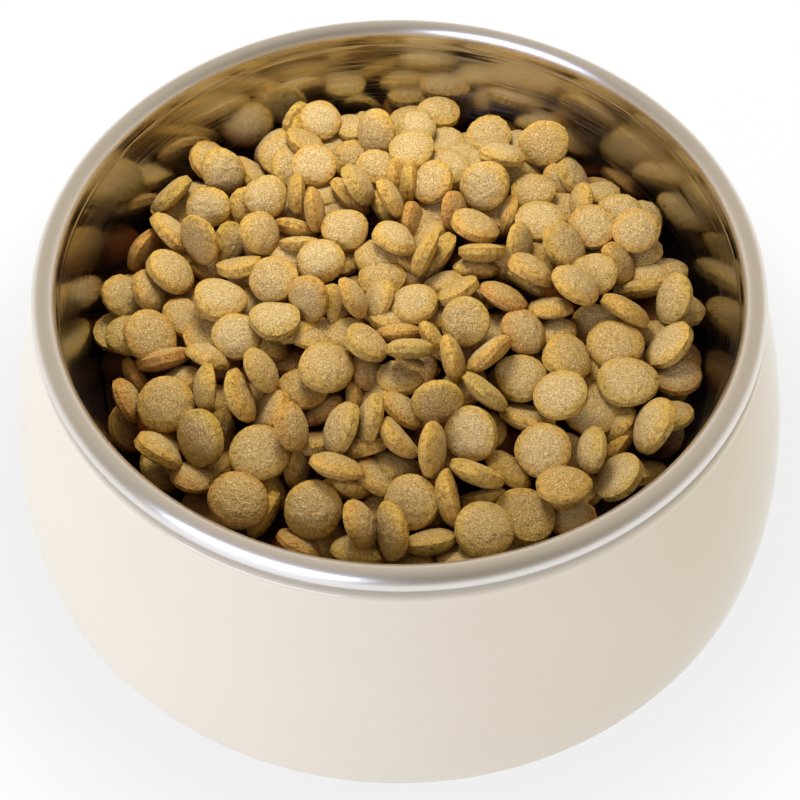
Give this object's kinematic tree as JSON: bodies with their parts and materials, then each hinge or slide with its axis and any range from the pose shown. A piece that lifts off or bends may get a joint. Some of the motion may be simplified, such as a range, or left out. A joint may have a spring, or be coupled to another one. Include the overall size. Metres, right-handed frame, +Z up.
{
  "type": "filled pet food bowl",
  "caption": "Bell-shaped glossy pet bowl, open underneath, with a rolled-rim steel liner full of lens-shaped dry kibble and a rubber ring in its foot.",
  "frame": {"origin": "on the floor, at the middle of the bowl's round footprint", "axes": "+Z up along the axis of the turned bowl; the side of the bowl nearest the viewer faces -Y"},
  "size_m": [0.208, 0.208, 0.0695],
  "materials": {
    "shell_moulding": "glossy cream melamine moulding",
    "liner_steel": "polished stainless sheet",
    "foot_rubber": "matte moulded rubber",
    "kibble": "dry baked crust, speckled flat faces"
  },
  "bodies": {
    "root": {"outer_shell": "shell_moulding", "steel_liner": "liner_steel", "base_ring": "foot_rubber", "kibble_bed": "kibble", "kibble_01": "kibble", "kibble_02": "kibble", "kibble_03": "kibble", "kibble_04": "kibble", "kibble_05": "kibble", "kibble_06": "kibble", "kibble_07": "kibble", "kibble_08": "kibble", "kibble_09": "kibble", "kibble_10": "kibble", "kibble_11": "kibble", "kibble_12": "kibble", "kibble_13": "kibble", "kibble_14": "kibble", "kibble_15": "kibble", "kibble_16": "kibble", "kibble_17": "kibble", "kibble_18": "kibble", "kibble_19": "kibble", "kibble_20": "kibble", "kibble_21": "kibble", "kibble_22": "kibble", "kibble_23": "kibble", "kibble_24": "kibble", "kibble_25": "kibble", "kibble_26": "kibble", "kibble_27": "kibble", "kibble_28": "kibble", "kibble_29": "kibble", "kibble_30": "kibble", "kibble_31": "kibble", "kibble_32": "kibble", "kibble_33": "kibble", "kibble_34": "kibble", "kibble_35": "kibble", "kibble_36": "kibble", "kibble_37": "kibble", "kibble_38": "kibble", "kibble_39": "kibble", "kibble_40": "kibble", "kibble_41": "kibble", "kibble_42": "kibble", "kibble_43": "kibble", "kibble_44": "kibble", "kibble_45": "kibble", "kibble_46": "kibble", "kibble_47": "kibble", "kibble_48": "kibble", "kibble_49": "kibble", "kibble_50": "kibble", "kibble_51": "kibble", "kibble_52": "kibble", "kibble_53": "kibble", "kibble_54": "kibble", "kibble_55": "kibble", "kibble_56": "kibble"}
  },
  "joints": []
}
